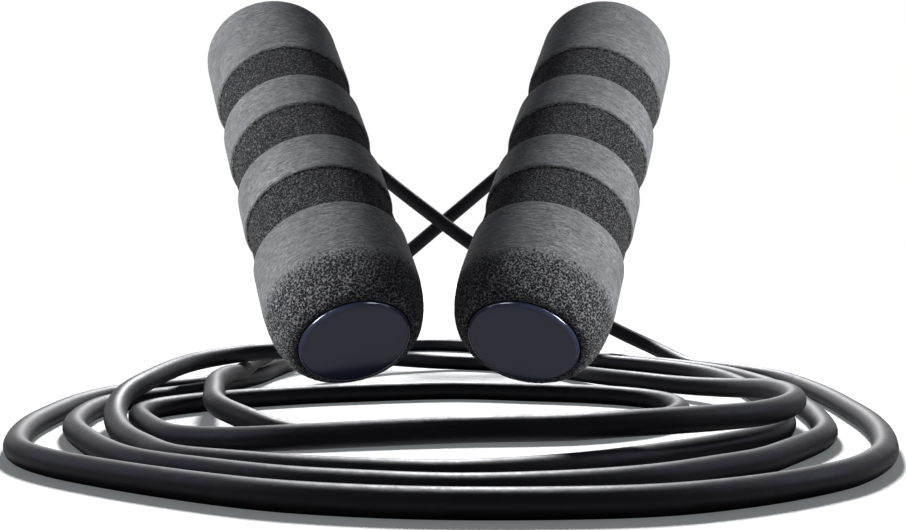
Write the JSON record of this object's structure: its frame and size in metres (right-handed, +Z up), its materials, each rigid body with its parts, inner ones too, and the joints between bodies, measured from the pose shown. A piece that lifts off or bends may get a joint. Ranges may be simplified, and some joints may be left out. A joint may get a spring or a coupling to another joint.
{
  "type": "skipping rope with foam handles",
  "caption": "Skipping rope with foam-covered handles that spin on ball bearings, standing tilted in a loose coil of smooth cord.",
  "frame": {"origin": "on the floor, on the underside of the coil, midway between the places where the two handles rest on the cord", "axes": "+Z up, +Y the way the handles lean, away from their end caps, +X to the right when the end caps face the viewer"},
  "size_m": [0.1775, 0.2687, 0.1133],
  "materials": {
    "foam": "skinned foam, matte, open-celled in the grooves and at the cap end",
    "black_plastic": "glossy blue-black moulding",
    "core_plastic": "matte moulding",
    "cord_pvc": "smooth satin PVC",
    "steel": "ground bearing steel",
    "brass": "turned brass"
  },
  "bodies": {
    "cord": {"cord_coil": "cord_pvc", "bearing_inner_left": "steel", "swivel_sleeve_left": "brass", "thrust_washer_left": "steel", "cord_stop_left": "brass", "stop_screw_left": "steel", "cord_lead_left": "cord_pvc", "bearing_inner_right": "steel", "swivel_sleeve_right": "brass", "thrust_washer_right": "steel", "cord_stop_right": "brass", "stop_screw_right": "steel", "cord_lead_right": "cord_pvc"},
    "left_handle": {"foam_grip_left": "foam", "handle_tube_left": "core_plastic", "end_cap_left": "black_plastic", "nose_bush_left": "black_plastic", "bearing_outer_left": "steel", "retaining_ring_left": "steel"},
    "left_ball_cage": {"ball_cage_left": "brass"},
    "right_handle": {"foam_grip_right": "foam", "handle_tube_right": "core_plastic", "end_cap_right": "black_plastic", "nose_bush_right": "black_plastic", "bearing_outer_right": "steel", "retaining_ring_right": "steel"},
    "right_ball_cage": {"ball_cage_right": "brass"}
  },
  "joints": [
    {"name": "left_handle_spin", "type": "hinge", "parent": "cord", "child": "left_handle", "pos_m": [-0.04875, 0.06222, 0.08875], "axis": [-0.2747, 0.6765, 0.6833], "continuous": true},
    {"name": "left_cage_spin", "type": "hinge", "parent": "cord", "child": "left_ball_cage", "pos_m": [-0.04875, 0.06222, 0.08875], "axis": [-0.2747, 0.6765, 0.6833], "continuous": true},
    {"name": "right_handle_spin", "type": "hinge", "parent": "cord", "child": "right_handle", "pos_m": [0.04697, 0.06252, 0.08875], "axis": [0.2581, 0.683, 0.6833], "continuous": true},
    {"name": "right_cage_spin", "type": "hinge", "parent": "cord", "child": "right_ball_cage", "pos_m": [0.04697, 0.06252, 0.08875], "axis": [0.2581, 0.683, 0.6833], "continuous": true}
  ],
  "couplings": [
    {"joint": "left_cage_spin", "follows": "left_handle_spin", "ratio": 0.5857},
    {"joint": "right_cage_spin", "follows": "right_handle_spin", "ratio": 0.5857}
  ]
}
